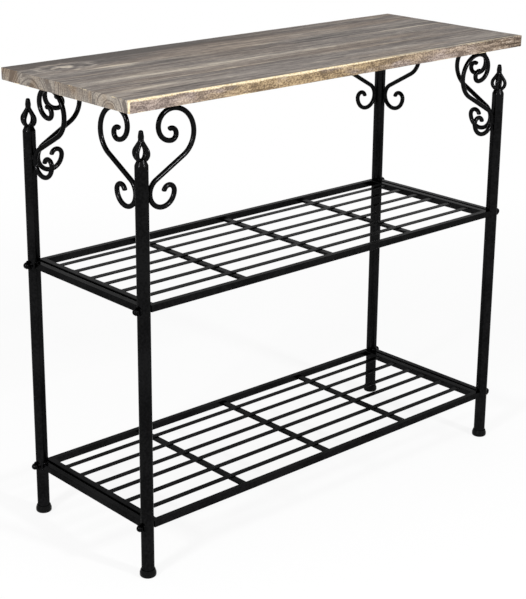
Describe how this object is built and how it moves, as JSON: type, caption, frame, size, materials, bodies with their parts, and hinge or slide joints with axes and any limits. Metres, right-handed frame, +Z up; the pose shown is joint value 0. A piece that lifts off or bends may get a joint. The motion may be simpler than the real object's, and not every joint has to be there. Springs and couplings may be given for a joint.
{
  "type": "bakers rack",
  "caption": "Low bakers rack with a solid wood top on black metal posts with scroll brackets and basket finials, over open slatted metal shelves for standing things on.",
  "frame": {"origin": "on the floor, under the middle of the rack", "axes": "+X along the length to the viewer's right from the front, +Y from front to rear, +Z up"},
  "size_m": [0.8, 0.3, 0.7055],
  "materials": {
    "pine_top": "weathered grey-brown pine, matt, with pale worn edges",
    "black_frame": "satin black powder coat on steel",
    "foot_cap": "smooth black",
    "black_fixing": "black coated steel, slightly glossy",
    "plated_fixing": "zinc plated steel, mostly hidden"
  },
  "bodies": {
    "root": {"board_screws": "plated_fixing", "board_tabs": "black_frame", "cap_nuts": "black_fixing", "finial_front_left": "black_frame", "finial_front_right": "black_frame", "finial_rear_left": "black_frame", "finial_rear_right": "black_frame", "foot_front_left": "foot_cap", "foot_front_right": "foot_cap", "foot_rear_left": "foot_cap", "foot_rear_right": "foot_cap", "lower_end_rail_left": "black_frame", "lower_end_rail_right": "black_frame", "lower_shelf_cross_bar_1": "black_frame", "lower_shelf_cross_bar_2": "black_frame", "lower_shelf_cross_bar_3": "black_frame", "lower_shelf_front_rail": "black_frame", "lower_shelf_left_rail": "black_frame", "lower_shelf_rear_rail": "black_frame", "lower_shelf_right_rail": "black_frame", "lower_shelf_slat_1": "black_frame", "lower_shelf_slat_2": "black_frame", "lower_shelf_slat_3": "black_frame", "lower_shelf_slat_4": "black_frame", "lower_shelf_slat_5": "black_frame", "lower_shelf_slat_6": "black_frame", "post_front_left": "black_frame", "post_front_right": "black_frame", "post_rear_left": "black_frame", "post_rear_right": "black_frame", "saddle_washers": "black_fixing", "scroll_end_front_left": "black_frame", "scroll_end_front_right": "black_frame", "scroll_end_rear_left": "black_frame", "scroll_end_rear_right": "black_frame", "scroll_long_front_left": "black_frame", "scroll_long_front_right": "black_frame", "scroll_long_rear_left": "black_frame", "scroll_long_rear_right": "black_frame", "shelf_studs": "plated_fixing", "top_board_front": "pine_top", "top_board_middle": "pine_top", "top_board_rear": "pine_top", "upper_end_rail_left": "black_frame", "upper_end_rail_right": "black_frame", "upper_shelf_cross_bar_1": "black_frame", "upper_shelf_cross_bar_2": "black_frame", "upper_shelf_cross_bar_3": "black_frame", "upper_shelf_front_rail": "black_frame", "upper_shelf_left_rail": "black_frame", "upper_shelf_rear_rail": "black_frame", "upper_shelf_right_rail": "black_frame", "upper_shelf_slat_1": "black_frame", "upper_shelf_slat_2": "black_frame", "upper_shelf_slat_3": "black_frame", "upper_shelf_slat_4": "black_frame", "upper_shelf_slat_5": "black_frame", "upper_shelf_slat_6": "black_frame"}
  },
  "joints": []
}
